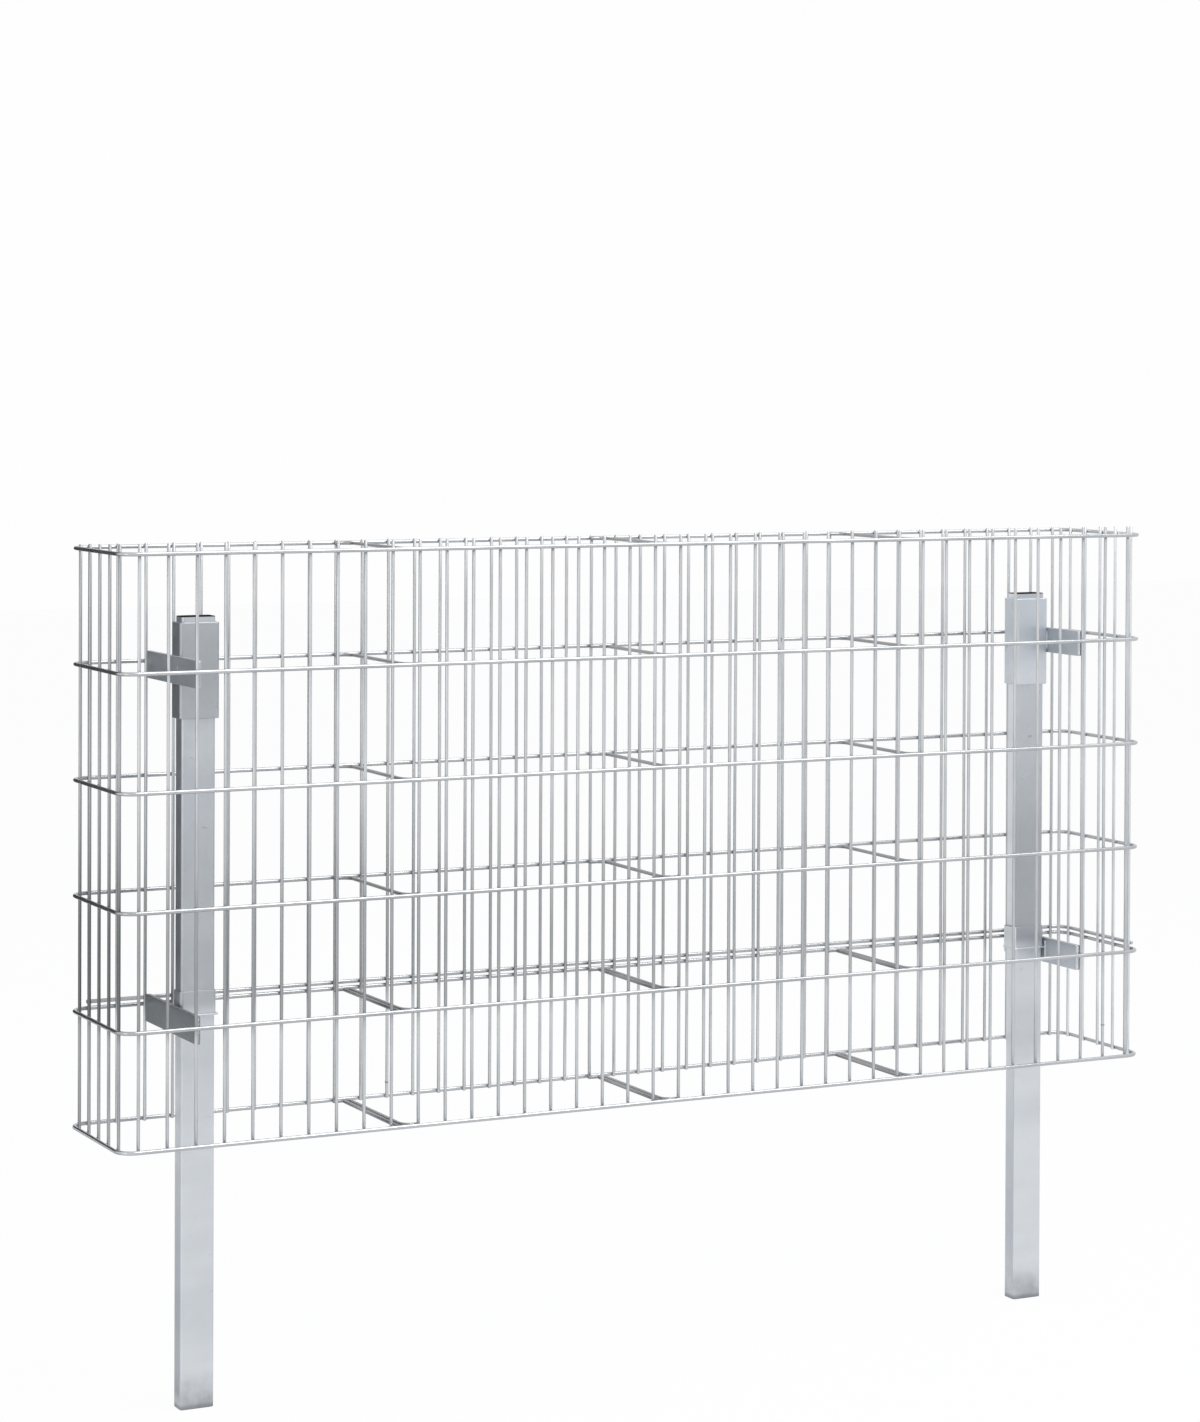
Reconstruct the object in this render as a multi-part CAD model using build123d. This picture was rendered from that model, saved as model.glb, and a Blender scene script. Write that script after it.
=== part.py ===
from build123d import *
import math
import os

# Empty gabion basket on two posts. Millimetres, +Z up, the front face looks along -Y.
# The origin is the middle of the left post's foot, on the ground.

# Welded mesh
UPRIGHT_PITCH = 30.0      # from upright to upright, on every face
LONG_BAYS = 40            # spaces of that pitch along a long face, half a space at each corner
DEEP_BAYS = 5             # the same along an end face
RING_COUNT = 6            # horizontal wires round the basket
RING_PITCH = 117.4        # from ring to ring
UPRIGHT_WIRE = 3.5        # wire thickness
RING_WIRE = 4.2
WIRE_SIDES = 6            # flats on every wire, one of them against the wire it is welded to
TOP_TIP = 10.0            # length of upright that stands above the top ring
BOTTOM_TIP = 2.1          # and below the bottom ring
RING_BEND = 17.5          # centre-line radius of a ring at the corners
RING_BEND_STEPS = 3       # mitres that make up a quarter turn

# Cross ties between the two long faces
TIE_WIRE = 3.8
TIE_STATIONS = 3          # they part the basket into equal bays
TIE_BEND = 11.0           # centre-line radius where a tie turns along the face
TIE_BEND_STEPS = 2
TIE_TAIL = 3.0            # length that reaches past the upright it is welded to
STAY_RINGS = 2            # the lowest rings have a straight stay beside each tie
STAY_SPACE = 7.0          # from the tie's middle to the stay's

# Second wire over the ring next to the bottom one, along the back and the right end
STIFFENER_RING = 1
STIFFENER_RISE = 6.6

# Posts, rectangular tubes with their broad sides to the front and back
POST_WIDTH = 36.0
POST_DEPTH = 20.0
POST_WALL = 2.0
POST_CORNER = 3.0         # outside corner radius
POST_TIP = 6.0            # length of post that stands above its sleeve
BASKET_LIFT = 280.0       # from the ground to the middle of the bottom ring

# Sleeves and collars that slide over the posts
SLEEVE_GAP = 0.4
SLEEVE_WALL = 2.8
SLEEVE_CORNER = 3.6       # outside corner radius
SLEEVE_HEIGHT = 97.0
SLEEVE_RISE = 44.4        # from the middle of the carrier's ring up to the sleeve's upper edge
COLLAR_HEIGHT = 25.0

# Flat carriers from face to face, each on the outer side of a post
CARRIER_THICKNESS = 5.0
CARRIER_HEIGHT = 28.0
CARRIER_DROP = 3.0        # from the ring's middle down to the carrier's middle
CARRIER_UPRIGHT = 2       # counted from the nearer end
UPPER_CARRIER_RING = 4
LOWER_CARRIER_RING = 1

LENGTH = LONG_BAYS * UPRIGHT_PITCH
DEPTH = DEEP_BAYS * UPRIGHT_PITCH
RING_OFFSET = (UPRIGHT_WIRE + RING_WIRE) / 2
SLEEVE_WIDTH = POST_WIDTH + 2 * (SLEEVE_GAP + SLEEVE_WALL)
SLEEVE_DEPTH = POST_DEPTH + 2 * (SLEEVE_GAP + SLEEVE_WALL)
POST_FROM_END = (CARRIER_UPRIGHT + 0.5) * UPRIGHT_PITCH + CARRIER_THICKNESS + SLEEVE_WIDTH / 2
POST_SPREAD = LENGTH - 2 * POST_FROM_END
CENTRE_X = POST_SPREAD / 2
TIE_LANE = (DEPTH - UPRIGHT_WIRE - TIE_WIRE) / 2
UP = (0, 0, 1)


def ring_z(ring):
    """Height of a ring's middle, ring 0 being the lowest."""
    return BASKET_LIFT + ring * RING_PITCH


def upright_x(index):
    """Place of an upright along a long face, index 0 being next to the left end."""
    return CENTRE_X + (index + 0.5) * UPRIGHT_PITCH - LENGTH / 2


def section(plane, thickness):
    """Wire section on a plane, with edges along the plane's x and flats square to its y."""
    return plane * RegularPolygon(thickness / 2, WIRE_SIDES, major_radius=False)


def bar(start, end, edge, thickness):
    """Straight wire between two points, with an edge in the given direction."""
    run = Vector(*end) - Vector(*start)
    plane = Plane(origin=start, x_dir=edge, z_dir=run)
    return extrude(section(plane, thickness), run.length)


def upright(x, y, edge):
    """Upright of the mesh, from just under the bottom ring to its tip above the top one."""
    foot = BASKET_LIFT - BOTTOM_TIP
    tip = ring_z(RING_COUNT - 1) + TOP_TIP
    return bar((x, y, foot), (x, y, tip), edge, UPRIGHT_WIRE)


def rounded_route(points, radius, steps):
    """Route with each square corner turned in even mitres, round an arc that touches every run."""
    route = [Vector(*points[0])]
    for before, corner, after in zip(points, points[1:], points[2:]):
        corner = Vector(*corner)
        back = (Vector(*before) - corner).normalized()
        ahead = (Vector(*after) - corner).normalized()
        centre = corner + (back + ahead) * radius
        reach = radius / math.cos(math.radians(45 / steps))
        for step in range(steps):
            angle = math.radians(90 * (step + 0.5) / steps)
            route.append(centre - (ahead * math.cos(angle) + back * math.sin(angle)) * reach)
    return route + [Vector(*points[-1])]


def bent_wire(points, radius, steps, thickness):
    """Wire along a level route, with flats to both sides."""
    route = Polyline(*rounded_route(points, radius, steps))
    plane = Plane(origin=route @ 0, x_dir=UP, z_dir=route % 0)
    return sweep(section(plane, thickness), path=route, transition=Transition.RIGHT)


def weld(bars):
    """One solid out of wires that touch where they cross."""
    return bars[0].fuse(*bars[1:])


def long_ring(side, z):
    """Straight run of a ring wire along a long face."""
    y = side * (DEPTH / 2 + RING_OFFSET)
    reach = LENGTH / 2 + RING_OFFSET - RING_BEND
    return bar((CENTRE_X - reach, y, z), (CENTRE_X + reach, y, z), UP, RING_WIRE)


def end_ring(side, z):
    """Straight run of a ring wire along an end face."""
    x = CENTRE_X + side * (LENGTH / 2 + RING_OFFSET)
    reach = DEPTH / 2 + RING_OFFSET - RING_BEND
    return bar((x, -reach, z), (x, reach, z), UP, RING_WIRE)


def long_mesh(side):
    """Long face of the basket: uprights with the straight ring wires outside them."""
    face_y = side * DEPTH / 2
    uprights = [upright(upright_x(i), face_y, (1, 0, 0)) for i in range(LONG_BAYS)]
    rings = [long_ring(side, ring_z(r)) for r in range(RING_COUNT)]
    return weld(uprights + rings)


def end_mesh(side):
    """End face of the basket: uprights with the straight ring wires outside them."""
    face_x = CENTRE_X + side * LENGTH / 2
    places = [(i + 0.5) * UPRIGHT_PITCH - DEPTH / 2 for i in range(DEEP_BAYS)]
    uprights = [upright(face_x, y, (0, 1, 0)) for y in places]
    rings = [end_ring(side, ring_z(r)) for r in range(RING_COUNT)]
    return weld(uprights + rings)


def quarter_turn(side_x, side_y, z):
    """Quarter turn of a ring wire, from an end face round to a long face."""
    x = CENTRE_X + side_x * (LENGTH / 2 + RING_OFFSET)
    y = side_y * (DEPTH / 2 + RING_OFFSET)
    points = [(x, y - side_y * RING_BEND, z), (x, y, z), (x - side_x * RING_BEND, y, z)]
    return bent_wire(points, RING_BEND, RING_BEND_STEPS, RING_WIRE)


def corner_bends(side_x, side_y, heights):
    """The turns of the ring wires at one corner, one above the other."""
    return Compound([quarter_turn(side_x, side_y, z) for z in heights])


def station_x(station):
    """Place of a row of ties, midway between two uprights."""
    return CENTRE_X - LENGTH / 2 + station * LENGTH / (TIE_STATIONS + 1)


def cross_tie(station, ring):
    """Tie between the faces, turned to the left at the back and to the right at the front."""
    x = station_x(station)
    z = ring_z(ring)
    arm = UPRIGHT_PITCH / 2 + TIE_TAIL
    points = [(x - arm, TIE_LANE, z), (x, TIE_LANE, z), (x, -TIE_LANE, z), (x + arm, -TIE_LANE, z)]
    return bent_wire(points, TIE_BEND, TIE_BEND_STEPS, TIE_WIRE)


def stay(station, ring):
    """Straight wire beside a tie, from the front ring to the inside of the tie's back bend."""
    x = station_x(station) - STAY_SPACE
    z = ring_z(ring)
    front = -DEPTH / 2 - RING_OFFSET + RING_WIRE / 2
    bend_inside = TIE_BEND - TIE_WIRE / 2
    across = TIE_BEND - STAY_SPACE + TIE_WIRE / 2
    back = TIE_LANE - TIE_BEND + math.sqrt(bend_inside ** 2 - across ** 2)
    return bar((x, front, z), (x, back, z), UP, TIE_WIRE)


def tube(width, depth, wall, corner, height):
    """Rectangular tube with rounded corners, standing on its lower end."""
    outside = RectangleRounded(width, depth, corner)
    inside = RectangleRounded(width - 2 * wall, depth - 2 * wall, corner - wall)
    return extrude(outside - inside, height)


def carrier(side, ring):
    """Flat carrier on the outer side of a post, between the uprights of both faces."""
    inner = DEPTH - UPRIGHT_WIRE
    x = CENTRE_X + side * (POST_SPREAD / 2 + (SLEEVE_WIDTH + CARRIER_THICKNESS) / 2)
    return Pos(x, 0, ring_z(ring) - CARRIER_DROP) * Box(CARRIER_THICKNESS, inner, CARRIER_HEIGHT)


os.makedirs("parts", exist_ok=True)

ring_heights = [ring_z(r) for r in range(RING_COUNT)]
stiffener_z = ring_z(STIFFENER_RING) + STIFFENER_RISE

parts = {
    "front_mesh": long_mesh(-1),
    "back_mesh": long_mesh(1),
    "left_end_mesh": end_mesh(-1),
    "right_end_mesh": end_mesh(1),
    "back_stiffener": long_ring(1, stiffener_z),
    "right_stiffener": end_ring(1, stiffener_z),
    "front_left_bends": corner_bends(-1, -1, ring_heights),
    "front_right_bends": corner_bends(1, -1, ring_heights),
    "back_left_bends": corner_bends(-1, 1, ring_heights),
    "back_right_bends": corner_bends(1, 1, ring_heights + [stiffener_z]),
}

for station in range(1, TIE_STATIONS + 1):
    for ring in range(RING_COUNT):
        parts[f"cross_tie_{station}_{ring + 1}"] = cross_tie(station, ring)
    for ring in range(STAY_RINGS):
        parts[f"stay_{station}_{ring + 1}"] = stay(station, ring)

sleeve_top = ring_z(UPPER_CARRIER_RING) + SLEEVE_RISE
post = tube(POST_WIDTH, POST_DEPTH, POST_WALL, POST_CORNER, sleeve_top + POST_TIP)
sleeve = tube(SLEEVE_WIDTH, SLEEVE_DEPTH, SLEEVE_WALL, SLEEVE_CORNER, SLEEVE_HEIGHT)
collar = tube(SLEEVE_WIDTH, SLEEVE_DEPTH, SLEEVE_WALL, SLEEVE_CORNER, COLLAR_HEIGHT)

for name, side in (("left", -1), ("right", 1)):
    place = Pos((side + 1) * CENTRE_X, 0, 0)
    parts[f"{name}_post"] = place * post
    parts[f"{name}_sleeve"] = place * Pos(0, 0, sleeve_top - SLEEVE_HEIGHT) * sleeve
    parts[f"{name}_collar"] = place * Pos(0, 0, ring_z(LOWER_CARRIER_RING)) * collar
    parts[f"{name}_upper_carrier"] = carrier(side, UPPER_CARRIER_RING)
    parts[f"{name}_lower_carrier"] = carrier(side, LOWER_CARRIER_RING)

for name, shape in parts.items():
    export_step(shape, f"parts/{name}.step")
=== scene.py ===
import math

import bpy
import numpy as np
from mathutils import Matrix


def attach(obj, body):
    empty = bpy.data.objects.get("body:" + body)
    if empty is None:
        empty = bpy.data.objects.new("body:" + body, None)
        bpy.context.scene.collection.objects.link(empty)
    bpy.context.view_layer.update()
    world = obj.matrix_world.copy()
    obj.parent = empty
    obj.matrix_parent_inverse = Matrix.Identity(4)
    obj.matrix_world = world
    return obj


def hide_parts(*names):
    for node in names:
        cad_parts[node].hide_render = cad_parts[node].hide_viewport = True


# Empty gabion basket of round galvanised wire on two tube posts. Metres, +Z up.
# The origin is the middle of the left post's foot; the front face looks along -Y.

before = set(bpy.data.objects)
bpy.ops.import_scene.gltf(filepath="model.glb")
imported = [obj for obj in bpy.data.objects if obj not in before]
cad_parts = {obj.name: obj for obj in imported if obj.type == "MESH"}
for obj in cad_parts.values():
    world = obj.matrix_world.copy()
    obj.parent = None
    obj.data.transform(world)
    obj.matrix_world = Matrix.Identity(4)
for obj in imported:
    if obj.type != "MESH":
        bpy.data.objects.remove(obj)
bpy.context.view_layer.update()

# Sizes of the basket
UPRIGHT_PITCH = 0.030
LONG_BAYS = 40
DEEP_BAYS = 5
RING_COUNT = 6
RING_PITCH = 0.1174
BOTTOM_RING = 0.280
TOP_TIP = 0.010
BACK_TIP = 0.0035
BOTTOM_TIP = 0.0021
RING_BEND = 0.0175
UPRIGHT_RADIUS = 0.00175
RING_RADIUS = 0.0021
TIE_RADIUS = 0.0019
TIE_BEND = 0.011
TIE_STATIONS = 3
TIE_TAIL = 0.003
TIE_STEP = 0.04
RING_STEP = UPRIGHT_PITCH * 4
STAY_RINGS = 2
STAY_SPACE = 0.007
STIFFENER_RING = 1
STIFFENER_RISE = 0.0066
UPRIGHT_SWAY = 0.00022
# The end of a tilted wire rises on one side, so the swayed uprights stop this little lower
TIP_MARGIN = 0.01 * UPRIGHT_RADIUS

# A cut wire end is nipped to this share of its radius over this share of its radius
END_SHARE = 0.72
NIP_SHARE = 0.3
WIRE_SIDES = 10
RING_SIDES = 12

# Sizes of the posts and what they carry
POST_SIZE = (0.036, 0.020)
POST_WALL = 0.002
POST_CORNER = 0.003
LEAST_CORNER = 0.0006
POST_HEIGHT = 0.800
SLEEVE_SIZE = (0.0424, 0.0264)
SLEEVE_WALL = 0.0028
SLEEVE_CORNER = 0.0036
SLEEVE_SPAN = (0.697, 0.794)
COLLAR_SPAN = (0.3974, 0.4224)
COLLAR_LIP = 0.3990
COLLAR_BAND = (0.0384, 0.0224)
COLLAR_BAND_WALL = 0.0008
COLLAR_STAND_OFF = 0.0020
RIM_EASE = 0.0002
ROW_SPACING = 0.02
CARRIER_SIZE = (0.005, 0.1465, 0.028)
CARRIER_DROP = 0.003
CARRIER_RINGS = {"upper": 4, "lower": 1}

# Half sizes of the weld beads: at the rings (along the face, out of it, up), at the ties, and
# in the seams that join the carriers to the mesh and to the sleeves
RING_WELD = (0.0021, 0.0011, 0.0023)
TIE_WELD = (0.0024, 0.0013, 0.0024)
MESH_SEAM = (0.0020, 0.0010, 0.0016)
MESH_SEAM_REACH = 0.011
MESH_SEAM_INSET = 0.0006
SLEEVE_SEAM = (0.0010, 0.0012, 0.0014)
SLEEVE_SEAM_REACH = 0.009
SLEEVE_SEAM_INSET = 0.002
SEAM_BEADS = 12
SEAM_LUMPS = 0.2

# Two short ticks of weld on the left upper carrier
TICK = (0.0006, 0.0012, 0.0022)
TICK_PLACES_Y = (0.008, -0.018)

# Drips of zinc on a front and on a back upright
DRIP = (0.0021, 0.0020, 0.0026)
DRIP_PLACES = [(1.0538, -0.0750, 0.3170), (0.2438, 0.0750, 0.2945)]

# Where the colour changes, from none to all: heights of the darker band's start and of its fading,
# its fading to the right, the brighter lower post, the darker foot, painted shade with a stain over
# it, the foot's darkest edge, painted shade where it meets the floor, and the bare rim at the cut
# top
DARK_BAND_START = (0.380, 0.405)
DARK_BAND_FADE = (0.66, 0.46)
DARK_BAND_FADE_X = (1.6, -0.2)
LOWER_POST = (0.412, 0.400)
FOOT = (0.045, 0.004)
FOOT_EDGE = (0.007, 0.001)
BARE_RIM = (POST_HEIGHT - 0.0010, POST_HEIGHT - 0.0006)
# What lies less deep than this belongs to a flat's finish
FLAT_SKIN = 0.0001

LENGTH = LONG_BAYS * UPRIGHT_PITCH
DEPTH = DEEP_BAYS * UPRIGHT_PITCH
POST_SPREAD = 0.9976
CENTRE_X = POST_SPREAD / 2
LEFT_END = CENTRE_X - LENGTH / 2
RIGHT_END = CENTRE_X + LENGTH / 2
RING_OFFSET = UPRIGHT_RADIUS + RING_RADIUS
RING_Z = BOTTOM_RING + RING_PITCH * np.arange(RING_COUNT)
LONG_X = LEFT_END + (np.arange(LONG_BAYS) + 0.5) * UPRIGHT_PITCH
DEEP_Y = (np.arange(DEEP_BAYS) + 0.5) * UPRIGHT_PITCH - DEPTH / 2

chance = np.random.default_rng(11)


# Shapes

class Shape:
    """Points and faces of one mesh, gathered from several surfaces."""

    def __init__(self):
        self.points = []
        self.faces = []
        self.count = 0

    def add(self, points, faces):
        points = np.asarray(points, float).reshape(-1, 3)
        self.points.append(points)
        self.faces += (faces + self.count).tolist()
        self.count += len(points)

    def piece(self, name, material, slot, stands_for=()):
        mesh = bpy.data.meshes.new(name)
        mesh.from_pydata(np.concatenate(self.points).tolist(), [], self.faces)
        four_sided = np.array([len(face) == 4 for face in self.faces])
        mesh.polygons.foreach_set("use_smooth", four_sided)
        mesh.materials.append(material)
        mesh.update()
        obj = bpy.data.objects.new(name, mesh)
        bpy.context.scene.collection.objects.link(obj)
        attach(obj, "root")
        if stands_for:
            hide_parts(*stands_for)


def grid_faces(rows, columns, close_rows=False):
    """Four-sided faces of a grid whose rows are closed loops: each face joins a point to the next
    one in its row and to the same two in the next row."""
    r = np.arange(rows if close_rows else rows - 1)[:, None]
    c = np.arange(columns)[None, :]
    r2, c2 = (r + 1) % rows, (c + 1) % columns
    corners = [r * columns + c, r * columns + c2, r2 * columns + c2, r2 * columns + c]
    spread = [np.broadcast_to(corner, (r.shape[0], c.shape[1])) for corner in corners]
    return np.stack(spread, -1).reshape(-1, 4)


def along(path, closed):
    """Unit direction of a path at each point: the sum of the unit steps into it and out of it."""
    step = np.roll(path, -1, 0) - path
    step /= np.linalg.norm(step, axis=1, keepdims=True) + 1e-12
    if not closed:
        step[-1] = step[-2]
    back = np.roll(step, 1, 0)
    if not closed:
        back[0] = step[0]
    total = step + back
    return total / np.linalg.norm(total, axis=1, keepdims=True)


def wire(shape, path, radius, sides=WIRE_SIDES, up=(0.0, 0.0, 1.0), closed=False):
    """Round wire along a path: point = path + radius * (cos a * side + sin a * rise), where side is
    the path's direction crossed with up and rise is square to both; open ends are nipped to a
    slight cone and closed with one flat face."""
    path = np.asarray(path, float)
    if not closed:
        nip = NIP_SHARE * radius
        first = path[0] + (path[1] - path[0]) / np.linalg.norm(path[1] - path[0]) * nip
        last = path[-1] + (path[-2] - path[-1]) / np.linalg.norm(path[-2] - path[-1]) * nip
        path = np.concatenate([path[:1], first[None], path[1:-1], last[None], path[-1:]])
    radii = np.full(len(path), radius)
    if not closed:
        radii[[0, -1]] = END_SHARE * radius
    heading = along(path, closed)
    side = np.cross(heading, np.asarray(up, float))
    side /= np.linalg.norm(side, axis=1, keepdims=True)
    rise = np.cross(side, heading)
    turn = 2 * np.pi * np.arange(sides) / sides
    across, over = np.cos(turn)[None, :, None], np.sin(turn)[None, :, None]
    ring = across * side[:, None] + over * rise[:, None]
    points = path[:, None] + radii[:, None, None] * ring
    shape.add(points, grid_faces(len(path), sides, closed)[:, ::-1])
    if not closed:
        base = shape.count - len(path) * sides
        shape.faces.append((base + np.arange(sides)).tolist())
        shape.faces.append((base + (len(path) - 1) * sides + np.arange(sides)[::-1]).tolist())
    return shape


def turned_route(points, radius, steps=6):
    """Level route whose square corners are turned on arcs: centre = corner + (back + ahead) *
    radius, and the arc runs from centre - ahead * radius to centre - back * radius."""
    points = np.asarray(points, float)
    route = [points[:1]]
    angle = np.linspace(0, np.pi / 2, steps + 1)[:, None]
    for before, corner, after in zip(points, points[1:], points[2:]):
        back = (before - corner) / np.linalg.norm(before - corner)
        ahead = (after - corner) / np.linalg.norm(after - corner)
        centre = corner + (back + ahead) * radius
        route.append(centre - (ahead * np.cos(angle) + back * np.sin(angle)) * radius)
    return np.concatenate(route + [points[-1:]])


def subdivided(path, spacing):
    """Path with extra points between its own, evenly laid, no further apart than the spacing."""
    pieces = []
    for a, b in zip(path, path[1:]):
        count = max(1, int(np.ceil(np.linalg.norm(b - a) / spacing)))
        pieces.append(a + (b - a) * (np.arange(count)[:, None] / count))
    return np.concatenate(pieces + [path[-1:]])


def bead(shape, centre, size, lumps=0.18, rows=5, columns=8):
    """Blob of weld metal: point = centre + (cos rise * cos turn, cos rise * sin turn, sin rise) *
    half sizes * swell, where swell is one plus a chance share of up to lumps, and one at the
    poles."""
    rise = np.linspace(-np.pi / 2, np.pi / 2, rows)[:, None]
    turn = 2 * np.pi * np.arange(columns)[None, :] / columns
    level_x, level_y = np.cos(rise) * np.cos(turn), np.cos(rise) * np.sin(turn)
    unit = np.stack([level_x, level_y, np.sin(rise) + 0 * turn], -1)
    swell = 1 + lumps * chance.uniform(-1, 1, (rows, columns, 1))
    swell[[0, -1]] = 1.0
    points = np.asarray(centre) + unit * swell * np.asarray(size)
    shape.add(points, grid_faces(rows, columns))


def rounded_box_profile(width, depth, corner, steps=5, lead=0.0004):
    """Outline of a rounded rectangle, anticlockwise: four corner centres, each with a quarter arc
    and a short straight lead before and after it, which keeps the shading of the flats flat."""
    angle = np.linspace(0, np.pi / 2, steps + 1)
    outline = []
    for quarter, (sx, sy) in enumerate(((1, 1), (-1, 1), (-1, -1), (1, -1))):
        centre = np.array([sx * (width / 2 - corner), sy * (depth / 2 - corner)])
        swing = angle + quarter * np.pi / 2
        arc = centre + corner * np.stack([np.cos(swing), np.sin(swing)], -1)
        onward = np.stack([-np.sin(swing), np.cos(swing)], -1) * lead
        outline += [arc[:1] - onward[:1], arc, arc[-1:] + onward[-1:]]
    return np.concatenate(outline)


def tube(shape, centre_x, size, wall, corner, low, high, spacing=0.05, ease=0.0004):
    """Rectangular tube: the outline carried straight up in rows, eased inwards at both rims, then
    back down on the inner outline, so that the wall closes on itself."""
    inner_corner = max(corner - wall, LEAST_CORNER)
    outer = rounded_box_profile(size[0], size[1], corner)
    outer_eased = rounded_box_profile(size[0] - 2 * ease, size[1] - 2 * ease, corner)
    inner = rounded_box_profile(size[0] - 2 * wall, size[1] - 2 * wall, inner_corner)
    thinned = wall - ease
    inner_eased = rounded_box_profile(size[0] - 2 * thinned, size[1] - 2 * thinned, inner_corner)
    heights = np.linspace(low + 3 * ease, high - 3 * ease, max(2, int((high - low) / spacing)))
    heights = np.concatenate([[low + ease], heights, [high - ease]])
    rows = [(outer_eased, low)] + [(outer, z) for z in heights] + [(outer_eased, high)]
    rows += [(inner_eased, high)] + [(inner, z) for z in heights[::-1]] + [(inner_eased, low)]
    points = np.stack([np.column_stack([o + (centre_x, 0.0), np.full(len(o), z)]) for o, z in rows])
    shape.add(points, grid_faces(len(rows), len(outer), close_rows=True))
    return shape


def plate(shape, centre, size, ease=0.0005, corner=0.0012):
    """Flat strip with eased edges: a rounded outline in its broad plane, in four rows across its
    thickness, closed with a face on each side."""
    outline = rounded_box_profile(size[1], size[2], corner, steps=3)
    eased = rounded_box_profile(size[1] - 2 * ease, size[2] - 2 * ease, corner, steps=3)
    half = size[0] / 2
    rows = [(eased, -half), (outline, -half + ease), (outline, half - ease), (eased, half)]
    points = np.stack([np.column_stack([np.full(len(o), x), o]) for o, x in rows])
    base = shape.count
    count = len(outline)
    shape.add(points + np.asarray(centre), grid_faces(len(rows), count))
    shape.faces.append((base + np.arange(count)[::-1]).tolist())
    shape.faces.append((base + 3 * count + np.arange(count)).tolist())
    return shape


# Materials

class Port:
    """A value in a material: the operators and steps below add the node that works them out."""

    def __init__(self, tree, socket):
        self.tree = tree
        self.socket = socket

    def _math(self, operation, *values):
        return self.tree.node("ShaderNodeMath", {"operation": operation}, dict(enumerate(values)))

    def __add__(self, other):
        return self._math("ADD", self, other)

    def __radd__(self, other):
        return self._math("ADD", other, self)

    def __sub__(self, other):
        return self._math("SUBTRACT", self, other)

    def __rsub__(self, other):
        return self._math("SUBTRACT", other, self)

    def __mul__(self, other):
        return self._math("MULTIPLY", self, other)

    def __rmul__(self, other):
        return self._math("MULTIPLY", other, self)

    def highest(self, other):
        return self._math("MAXIMUM", self, other)

    def below(self, limit):
        return self._math("LESS_THAN", self, limit)

    def between(self, low, high):
        """0 below low, 1 above high, eased between; turned round where low is above high."""
        settings = {"interpolation_type": "SMOOTHSTEP"}
        values = {"Value": self, "From Min": low, "From Max": high, "To Min": 0.0, "To Max": 1.0}
        return self.tree.node("ShaderNodeMapRange", settings, values)


class Finish:
    """One procedural material, or the nodes of a world."""

    def __init__(self, name, world=None):
        self.material = world or bpy.data.materials.new(name)
        self.material.use_nodes = True
        self.tree = self.material.node_tree
        self.tree.nodes.clear()
        self.place = self.node("ShaderNodeTexCoord", {}, {}, "Object")

    def node(self, kind, settings, values, output=0):
        made = self.tree.nodes.new(kind)
        for key, value in settings.items():
            setattr(made, key, value)
        for key, value in values.items():
            if isinstance(value, Port):
                self.tree.links.new(value.socket, made.inputs[key])
            else:
                made.inputs[key].default_value = value
        return Port(self, made.outputs[output])

    def noise(self, scale, detail=3.0, stretch=(1.0, 1.0, 1.0), shift=(0.0, 0.0, 0.0), rough=0.5):
        mapping = {"Vector": self.place, "Scale": stretch, "Location": shift}
        vector = self.node("ShaderNodeMapping", {}, mapping)
        values = {"Vector": vector, "Scale": scale, "Detail": detail, "Roughness": rough}
        return self.node("ShaderNodeTexNoise", {}, values)

    def cells(self, scale):
        values = {"Vector": self.place, "Scale": scale}
        return self.node("ShaderNodeTexVoronoi", {}, values, "Color")

    def absolute(self, value):
        return self.node("ShaderNodeMath", {"operation": "ABSOLUTE"}, {0: value})

    def coordinate(self, axis):
        return self.node("ShaderNodeSeparateXYZ", {}, {"Vector": self.place}, axis)

    def mix(self, factor, first, second):
        values = {0: factor, 6: first, 7: second}
        return self.node("ShaderNodeMix", {"data_type": "RGBA"}, values, 2)

    def grey_of(self, colour):
        return self.node("ShaderNodeSeparateColor", {}, {"Color": colour}, 0)

    def bump(self, height, distance, strength):
        values = {"Height": height, "Distance": distance, "Strength": strength}
        return self.node("ShaderNodeBump", {}, values)

    def surface(self, values):
        shader = self.node("ShaderNodeBsdfPrincipled", {}, values)
        self.node_output(shader)
        return self.material

    def seen(self):
        """1 where the camera, a reflection or glass looks, 0 for the light that falls on things."""
        rays = [self.node("ShaderNodeLightPath", {}, {}, f"Is {kind} Ray")
                for kind in ("Camera", "Glossy", "Transmission")]
        return rays[0] + rays[1] + rays[2]

    def node_output(self, shader, kind="ShaderNodeOutputMaterial"):
        output = self.tree.nodes.new(kind)
        self.tree.links.new(shader.socket, output.inputs["Surface"])


def tone(level, blue=0.0):
    """Grey of that linear level, a little bluer where asked."""
    return (level * (1 - blue), level * (1 - 0.25 * blue), level * (1 + 0.6 * blue), 1.0)


def darker_band(height):
    """1 through the low bay between the second and third ring, fading out upwards, where wires and
    posts are darker."""
    return height.between(*DARK_BAND_FADE) * height.between(*DARK_BAND_START)


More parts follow.
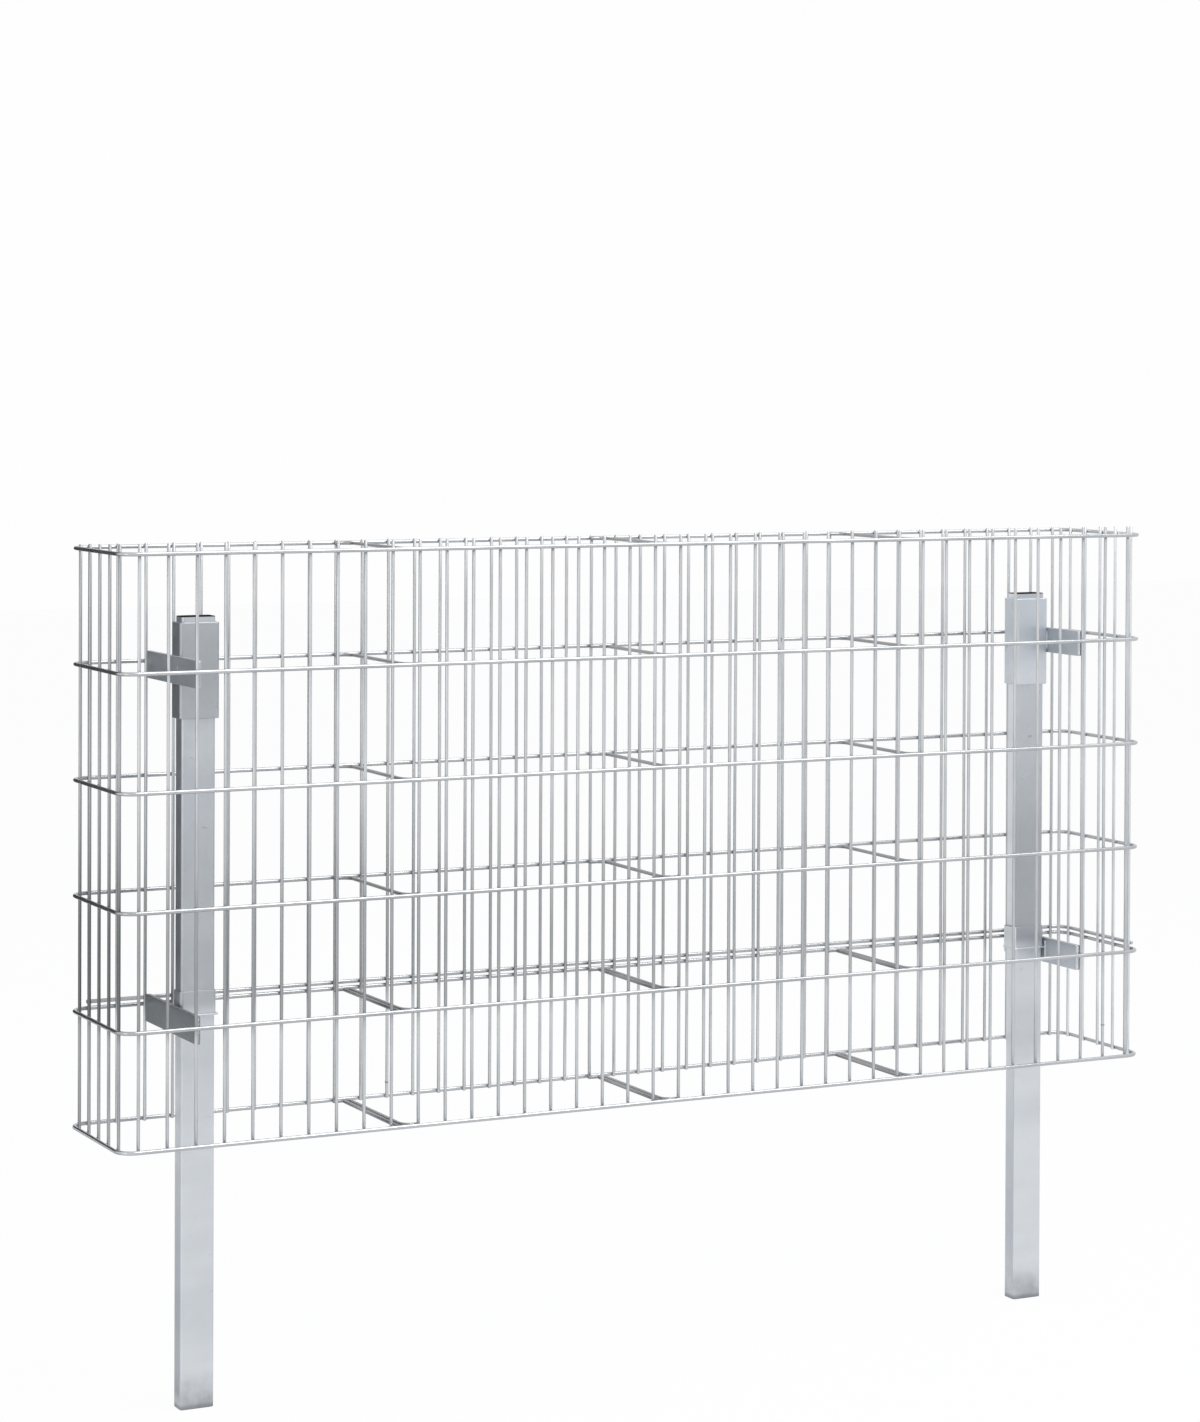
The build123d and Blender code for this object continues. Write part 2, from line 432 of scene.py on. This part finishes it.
def zinc_wire(name, body, shine, dimming=0.6):
    """Zinc on drawn wire: slow lighter and duller lengths, faint flecks, and a darker band low
    down, where the colour falls to a third by the dimming's share, less to the right."""
    f = Finish(name)
    slow = f.noise(14.0, 3.0)
    fleck = f.noise(260.0, 2.0).between(0.64, 0.74)
    colour = f.mix(slow.between(0.3, 0.7), tone(body * 0.92, 0.04), tone(body * 1.08, 0.03))
    colour = f.mix(fleck * 0.25, colour, tone(body * 0.7, 0.03))
    dark_band = darker_band(f.coordinate("Z")) * f.coordinate("X").between(*DARK_BAND_FADE_X)
    colour = f.mix(dark_band * dimming, colour, tone(body * 0.3, 0.06))
    rough = shine + 0.10 * slow + 0.08 * fleck
    return f.surface({"Base Color": colour, "Metallic": 0.92, "Roughness": rough})


def zinc_tube(name, body, metallic=0.85, shine=0.32, bore=(0.0, 0.0), painted_side_light=0.0, dimming=0.3):
    """Galvanised tube: faint cells of zinc, long rolled streaks, cloudy dulling, level bands, small
    scuffs, the darker band, a brighter lower half with a darker foot that is painted shade with a
    stain over it, bare dark steel on the cut top edge, and painted shade, near black, inside a bore
    of the given half width and half depth. The right post's left flat is painted lighter by the
    given share, painted light on that side."""
    f = Finish(name)
    from_post = f.absolute(f.absolute(f.coordinate("X") - CENTRE_X) - POST_SPREAD / 2)
    height = f.coordinate("Z")
    # Painted shade inside the bore, joined with the bare rim at the cut top
    bore_shade = from_post.below(bore[0]) * f.absolute(f.coordinate("Y")).below(bore[1])
    inside = bore_shade.highest(height.between(*BARE_RIM))
    cell = f.grey_of(f.cells(95.0))
    streak = f.noise(60.0, 3.0, (1.0, 1.0, 0.03))
    cloud = f.noise(9.0, 4.0, (1.0, 1.0, 0.5))
    band = f.noise(11.0, 3.0, (0.25, 0.25, 1.0), (0.0, 0.0, 5.3)).between(0.36, 0.64)
    scuff = f.noise(55.0, 5.0, (1.0, 1.0, 2.4), (3.0, 1.0, 7.0), 0.7).between(0.64, 0.70)
    edge = height.between(*FOOT_EDGE)
    foot = height.between(*FOOT)
    lower = height.between(*LOWER_POST) * 0.8
    stain = foot * f.noise(70.0, 4.0).between(0.25, 0.75)
    colour = f.mix(cloud.between(0.3, 0.7), tone(body * 0.93, 0.08), tone(body * 1.05, 0.055))
    colour = f.mix(0.10 * cell + 0.10 * streak, colour, tone(body * 0.72, 0.09))
    colour = f.mix(band * 0.35, colour, tone(body * 0.74, 0.09))
    colour = f.mix(scuff * 0.6, colour, tone(body * 0.5, 0.03))
    colour = f.mix(darker_band(height) * dimming, colour, tone(body * 0.6, 0.08))
    colour = f.mix(lower * (1 - 0.4 * band), colour, tone(body * 1.18, 0.055))
    # Painted light: the right post's left flat is painted lighter, as light falls on that side
    if painted_side_light:
        painted_flank_light = f.coordinate("X").below(POST_SPREAD - POST_SIZE[0] / 2 + FLAT_SKIN)
        colour = f.mix(painted_flank_light, colour, tone(body * (1 + painted_side_light), 0.05))
    # Painted shade where the post meets the floor: the foot darker and its lowest edge darkest,
    # with a real stain over the foot
    colour = f.mix(foot * 0.45, colour, tone(body * 0.6, 0.09))
    colour = f.mix(stain * 0.45, colour, tone(body * 0.35, 0.06))
    colour = f.mix(edge * 0.6, colour, tone(body * 0.25, 0.06))
    # Painted shade, near black, inside the bore; the cut top rim is bare dark steel
    colour = f.mix(inside, colour, tone(0.02))
    rough = shine + 0.10 * cell + 0.08 * streak + 0.15 * scuff + 0.12 * foot + 0.4 * inside
    bump = f.bump(streak * 0.6 + scuff * -0.8 + cell * 0.2, 0.00006, 0.6)
    return f.surface({"Base Color": colour, "Metallic": metallic, "Roughness": rough,
                      "Normal": bump})


def weld_metal(name, hollow, crest):
    """Weld bead under zinc: lumpy and rough, from its dull hollows to its brighter crests."""
    f = Finish(name)
    lump = f.noise(900.0, 3.0)
    colour = f.mix(lump.between(0.35, 0.6), tone(hollow, 0.04), tone(crest, 0.02))
    rough = 0.45 + 0.2 * lump
    bump = f.bump(lump, 0.0002, 0.8)
    return f.surface({"Base Color": colour, "Metallic": 0.6, "Roughness": rough, "Normal": bump})


upright_finish = zinc_wire("zinc_upright", 0.60, 0.26)
# The left end's darker copy of the upright zinc is painted shade, the right end's lighter copy
# painted light
left_end_finish = zinc_wire("zinc_left_end_upright_painted_shade", 0.43, 0.26, 0.90)
right_end_finish = zinc_wire("zinc_right_end_upright_painted_light", 0.78, 0.26)
wire_finish = zinc_wire("zinc_wire", 0.52, 0.22, 0.2)
tie_finish = zinc_wire("zinc_tie", 0.36, 0.30, 0.3)
# The painted shade of the bore reaches a fifth of the wall past its inner face, and no outer face
post_bore = [size / 2 - POST_WALL * 0.8 for size in POST_SIZE]
post_finish = {
    "left": zinc_tube("zinc_left_post", 0.63, shine=0.28, bore=post_bore),
    "right": zinc_tube("zinc_right_post", 0.63, shine=0.28, bore=post_bore, painted_side_light=0.25,
                       dimming=0.7)}
# The left sleeve's darker tone is painted shade and the right sleeve's lighter tone painted light
sleeve_finish = {
    "left": zinc_tube("zinc_left_sleeve_painted_shade", 0.51),
    "right": zinc_tube("zinc_right_sleeve_painted_light", 0.73)}
right_carrier = zinc_tube("zinc_right_carrier", 0.64, 0.8, 0.42)
carrier_finish = {
    ("left", "upper"): zinc_tube("zinc_left_upper_carrier", 0.62, 0.8, 0.42),
    ("left", "lower"): zinc_tube("zinc_left_lower_carrier", 0.30, 0.8, 0.42),
    ("right", "upper"): right_carrier,
    ("right", "lower"): right_carrier}
spot_finish = weld_metal("spot_weld_zinc", 0.20, 0.42)
# The left seams' darker tone is painted shade and the right seams' lighter tone painted light
seam_finish = {"left": weld_metal("left_seam_weld_painted_shade", 0.36, 0.60),
               "right": weld_metal("right_seam_weld_painted_light", 0.72, 0.90)}


# Basket

def bowed(start, end, sway, points=9):
    """Wire that isn't quite straight: point = start + share * run + sway * sin(pi * share) on one
    side and half as much of sin(2 * pi * share) on the other, so both ends stay in place."""
    share = np.linspace(0, 1, points)[:, None]
    bend = np.sin(np.pi * share) * sway[0] + 0.5 * np.sin(2 * np.pi * share) * sway[1]
    return np.asarray(start) + share * (np.asarray(end) - np.asarray(start)) + bend


def sway_along(axis, size):
    """Two small chance offsets along one axis."""
    direction = np.eye(3)[axis]
    return [direction * chance.normal(0, size), direction * chance.normal(0, size)]


def uprights(face, places, axis, finish):
    """Uprights of one face, swaying along it; their tips grow evenly from BACK_TIP at the back face
    to TOP_TIP at the front."""
    shape = Shape()
    for x, y in places:
        tip = np.interp(y, (-DEPTH / 2, DEPTH / 2), (TOP_TIP, BACK_TIP))
        top = RING_Z[-1] + tip - TIP_MARGIN
        path = bowed((x, y, BOTTOM_RING - BOTTOM_TIP), (x, y, top), sway_along(axis, UPRIGHT_SWAY))
        wire(shape, path, UPRIGHT_RADIUS, up=(0.0, 1.0, 0.0))
    shape.piece(f"{face}_uprights", finish, "basket_wire", [f"{face}_mesh"])


face_y = DEPTH / 2
uprights("front", [(x, -face_y) for x in LONG_X], 0, upright_finish)
uprights("back", [(x, face_y) for x in LONG_X], 0, upright_finish)
uprights("left_end", [(LEFT_END, y) for y in DEEP_Y], 1, left_end_finish)
uprights("right_end", [(RIGHT_END, y) for y in DEEP_Y], 1, right_end_finish)

reach_x = LENGTH / 2 + RING_OFFSET
reach_y = DEPTH / 2 + RING_OFFSET


def ring_path(z):
    """Closed level loop round the basket with a turned corner at each end of both faces."""
    corners = [(1, -1), (1, 1), (-1, 1), (-1, -1)]
    points = [(CENTRE_X + sx * reach_x, sy * reach_y, z) for sx, sy in corners]
    middle = (CENTRE_X, -reach_y, z)
    route = turned_route([middle] + points + [middle], RING_BEND)
    return subdivided(route, RING_STEP)[:-1]


rings = Shape()
for ring_height in RING_Z:
    wire(rings, ring_path(ring_height), RING_RADIUS, RING_SIDES, closed=True)
rings.piece("ring_wires", wire_finish, "basket_wire",
            ["front_left_bends", "front_right_bends", "back_left_bends", "back_right_bends"])

stiffener_z = RING_Z[STIFFENER_RING] + STIFFENER_RISE
stiffener_route = turned_route(
    [(LEFT_END - RING_OFFSET + RING_BEND, reach_y, stiffener_z),
     (RIGHT_END + RING_OFFSET, reach_y, stiffener_z),
     (RIGHT_END + RING_OFFSET, -reach_y + RING_BEND, stiffener_z)], RING_BEND)
stiffener = wire(Shape(), subdivided(stiffener_route, RING_STEP), RING_RADIUS, RING_SIDES)
stiffener.piece("stiffener_wire", wire_finish, "basket_wire", ["back_stiffener", "right_stiffener"])

tie_lane = DEPTH / 2 - UPRIGHT_RADIUS - TIE_RADIUS
arm = UPRIGHT_PITCH / 2 + TIE_TAIL
station_x = LEFT_END + LENGTH * np.arange(1, TIE_STATIONS + 1) / (TIE_STATIONS + 1)
ties, stays = Shape(), Shape()
tie_nodes, stay_nodes = [], []
for number, x in enumerate(station_x, 1):
    for ring, z in enumerate(RING_Z):
        corners = [(x - arm, tie_lane, z), (x, tie_lane, z),
                   (x, -tie_lane, z), (x + arm, -tie_lane, z)]
        wire(ties, subdivided(turned_route(corners, TIE_BEND), TIE_STEP), TIE_RADIUS)
        tie_nodes.append(f"cross_tie_{number}_{ring + 1}")
        if ring < STAY_RINGS:
            # The second wire beside the tie ends where it meets the inside of the tie's bend
            across = TIE_BEND - STAY_SPACE + TIE_RADIUS
            back = tie_lane - TIE_BEND + math.sqrt((TIE_BEND - TIE_RADIUS) ** 2 - across ** 2)
            front = -reach_y + RING_RADIUS
            wire(stays, [(x - STAY_SPACE, front, z), (x - STAY_SPACE, back, z)], TIE_RADIUS)
            stay_nodes.append(f"stay_{number}_{ring + 1}")
ties.piece("cross_ties", tie_finish, "basket_wire", tie_nodes)
stays.piece("tie_stays", tie_finish, "basket_wire", stay_nodes)

# Spot welds where the rings cross the uprights, and where the ties rest on them
along_weld, out_weld, up_weld = RING_WELD
welds = Shape()
for z in RING_Z:
    for side in (-1, 1):
        for x in LONG_X:
            bead(welds, (x, side * (face_y + UPRIGHT_RADIUS), z), RING_WELD)
        end_x = CENTRE_X + side * (LENGTH / 2 + UPRIGHT_RADIUS)
        for y in DEEP_Y:
            bead(welds, (end_x, y, z), (out_weld, along_weld, up_weld))
    for x in station_x:
        for side in (-1, 1):
            touch = (x + side * UPRIGHT_PITCH / 2, -side * (face_y - UPRIGHT_RADIUS), z)
            bead(welds, touch, TIE_WELD)
for place in DRIP_PLACES:
    bead(welds, place, DRIP)
welds.piece("spot_welds", spot_finish, "basket_wire")

# Posts, sleeves, collars and carriers

def collar(name, side, post_x):
    """Collar close round the tube, standing off only on the right post's left side, with a thin lip
    of the sleeve's size at its lower edge."""
    stand_off = COLLAR_STAND_OFF if side > 0 else 0.0
    band = (COLLAR_BAND[0] + stand_off, COLLAR_BAND[1])
    shape = tube(Shape(), post_x - stand_off / 2, band, COLLAR_BAND_WALL, SLEEVE_CORNER,
                 COLLAR_LIP, COLLAR_SPAN[1], ROW_SPACING, RIM_EASE)
    tube(shape, post_x, SLEEVE_SIZE, SLEEVE_WALL, SLEEVE_CORNER,
         COLLAR_SPAN[0], COLLAR_LIP, ROW_SPACING, RIM_EASE)
    shape.piece(f"{name}_collar_tube", post_finish[name], "sleeve_tube", [f"{name}_collar"])


def seam(shape, x, y, z, reach, size):
    """Upright row of small beads: height = z + step, with even steps from -reach to reach."""
    for step in np.linspace(-reach, reach, SEAM_BEADS):
        bead(shape, (x, y, z + step), size, SEAM_LUMPS)


for name, side in (("left", -1), ("right", 1)):
    post_x = CENTRE_X + side * POST_SPREAD / 2
    post = tube(Shape(), post_x, POST_SIZE, POST_WALL, POST_CORNER, 0.0, POST_HEIGHT)
    post.piece(f"{name}_post_tube", post_finish[name], "post_tube", [f"{name}_post"])
    sleeve = tube(Shape(), post_x, SLEEVE_SIZE, SLEEVE_WALL, SLEEVE_CORNER, *SLEEVE_SPAN,
                  ROW_SPACING)
    sleeve.piece(f"{name}_sleeve_tube", sleeve_finish[name], "sleeve_tube", [f"{name}_sleeve"])
    collar(name, side, post_x)
    carrier_x = post_x + side * (SLEEVE_SIZE[0] + CARRIER_SIZE[0]) / 2
    inner_face = carrier_x - side * CARRIER_SIZE[0] / 2
    outer_face = carrier_x + side * CARRIER_SIZE[0] / 2
    seams = Shape()
    for level, ring in CARRIER_RINGS.items():
        middle_z = RING_Z[ring] - CARRIER_DROP
        strip = plate(Shape(), (carrier_x, 0.0, middle_z), CARRIER_SIZE)
        strip.piece(f"{name}_{level}_carrier_strip", carrier_finish[name, level], "carrier_strip",
                    [f"{name}_{level}_carrier"])
        mesh_end = CARRIER_SIZE[1] / 2 - MESH_SEAM_INSET
        sleeve_edge = SLEEVE_SIZE[1] / 2 - SLEEVE_SEAM_INSET
        for face in (-1, 1):
            seam(seams, carrier_x, face * mesh_end, middle_z, MESH_SEAM_REACH, MESH_SEAM)
        for face in (-1, 1):
            seam(seams, inner_face, face * sleeve_edge, middle_z, SLEEVE_SEAM_REACH, SLEEVE_SEAM)
    if side < 0:
        for y in TICK_PLACES_Y:
            bead(seams, (outer_face, y, RING_Z[CARRIER_RINGS["upper"]]), TICK)
    seams.piece(f"{name}_carrier_welds", seam_finish[name], "carrier_strip")


# Studio

FLOOR_REACH = 12.0


def standing(name, corners, material):
    """Four-cornered studio surface with its material."""
    mesh = bpy.data.meshes.new(name)
    mesh.from_pydata(corners, [], [(0, 1, 2, 3)])
    mesh.materials.append(material)
    obj = bpy.data.objects.new(name, mesh)
    bpy.context.scene.collection.objects.link(obj)
    return obj


def studio_white(name, keep):
    """White where the camera, a reflection or glass looks; elsewhere a pale matt floor, of which a
    share stays in view so that the object keeps its shadow."""
    f = Finish(name)
    matt = f.node("ShaderNodeBsdfDiffuse", {}, {"Color": (0.9, 0.9, 0.9, 1.0)})
    glow = f.node("ShaderNodeEmission", {}, {"Color": (1.0, 1.0, 1.0, 1.0), "Strength": 1.0})
    shader = f.node("ShaderNodeMixShader", {}, {0: f.seen() * (1 - keep), 1: matt, 2: glow})
    f.node_output(shader)
    return f.material


def grey_card(name, corners, grey):
    """Grey studio card that only reflections see, as a photographer sets beside metal."""
    f = Finish(name)
    f.node_output(f.node("ShaderNodeEmission", {}, {"Color": tone(grey, 0.05), "Strength": 1.0}))
    card = standing(name, corners, f.material)
    card.visible_camera = False
    card.visible_diffuse = False
    card.visible_shadow = False


def softbox(name, place, target, size, power):
    """Rectangular soft light turned to look at its target: with away = place - target, its tilt is
    the angle of away's level length over its height, and its turn that of x over -y."""
    lamp = bpy.data.lights.new(name, "AREA")
    lamp.shape = "RECTANGLE"
    lamp.size, lamp.size_y = size
    lamp.energy = power
    obj = bpy.data.objects.new(name, lamp)
    bpy.context.scene.collection.objects.link(obj)
    obj.location = place
    away = np.asarray(place) - np.asarray(target)
    tilt = math.atan2(math.hypot(away[0], away[1]), away[2])
    obj.rotation_euler = (tilt, 0.0, math.atan2(away[0], -away[1]))


standing("studio_floor", [(-FLOOR_REACH, -FLOOR_REACH, 0), (FLOOR_REACH, -FLOOR_REACH, 0),
                          (FLOOR_REACH, FLOOR_REACH, 0), (-FLOOR_REACH, FLOOR_REACH, 0)],
         studio_white("studio_white", 0.04))

# A pale even sky lights the object, and white stands behind it where it is seen
world = bpy.data.worlds.new("studio_air")
bpy.context.scene.world = world
air = Finish("studio_air", world)
sky = air.node("ShaderNodeBackground", {}, {"Color": (0.93, 0.96, 1.0, 1.0), "Strength": 0.55})
white = air.node("ShaderNodeBackground", {}, {"Color": (0.99, 0.99, 0.99, 1.0), "Strength": 1.0})
air_mix = air.node("ShaderNodeMixShader", {}, {0: air.seen(), 1: sky, 2: white})
air.node_output(air_mix, "ShaderNodeOutputWorld")

softbox("key_light", (1.5, -1.3, 3.4), (CENTRE_X, 0.0, 0.5), (2.6, 1.8), 75.0)
softbox("strip_light", (-2.6, -1.4, 0.9), (CENTRE_X, 0.0, 0.6), (0.9, 1.8), 7.0)

# A dark card that the left post's left flats mirror, and a mid grey one just over the floor, a
# painted shadow of the basket on the floor that only reflections see
grey_card("card_behind", [(-0.62, 0.42, 0.30), (-0.06, 0.50, 0.30),
                          (-0.06, 0.50, 1.5), (-0.62, 0.42, 1.5)], 0.05)
grey_card("card_floor_shade", [(-1.0, 0.03, 0.003), (0.93, 0.03, 0.003),
                         (0.93, 1.1, 0.003), (-1.0, 1.1, 0.003)], 0.55)

# Camera at the photograph's place: tipped down a little, turned to the right, its frame shifted
# down
camera = bpy.data.cameras.new("photo_camera")
camera.lens = 90.6255
camera.sensor_width = 36.0
camera.shift_y = -0.20057
camera.clip_end = 60.0
view = bpy.data.objects.new("photo_camera", camera)
bpy.context.scene.collection.objects.link(view)
view.location = (-1.2626, -3.40289, 1.04001)
view.rotation_euler = (math.radians(90 - 0.7455), math.radians(-0.2381), math.radians(-26.789))
bpy.context.scene.camera = view
bpy.context.scene.view_settings.view_transform = "Standard"
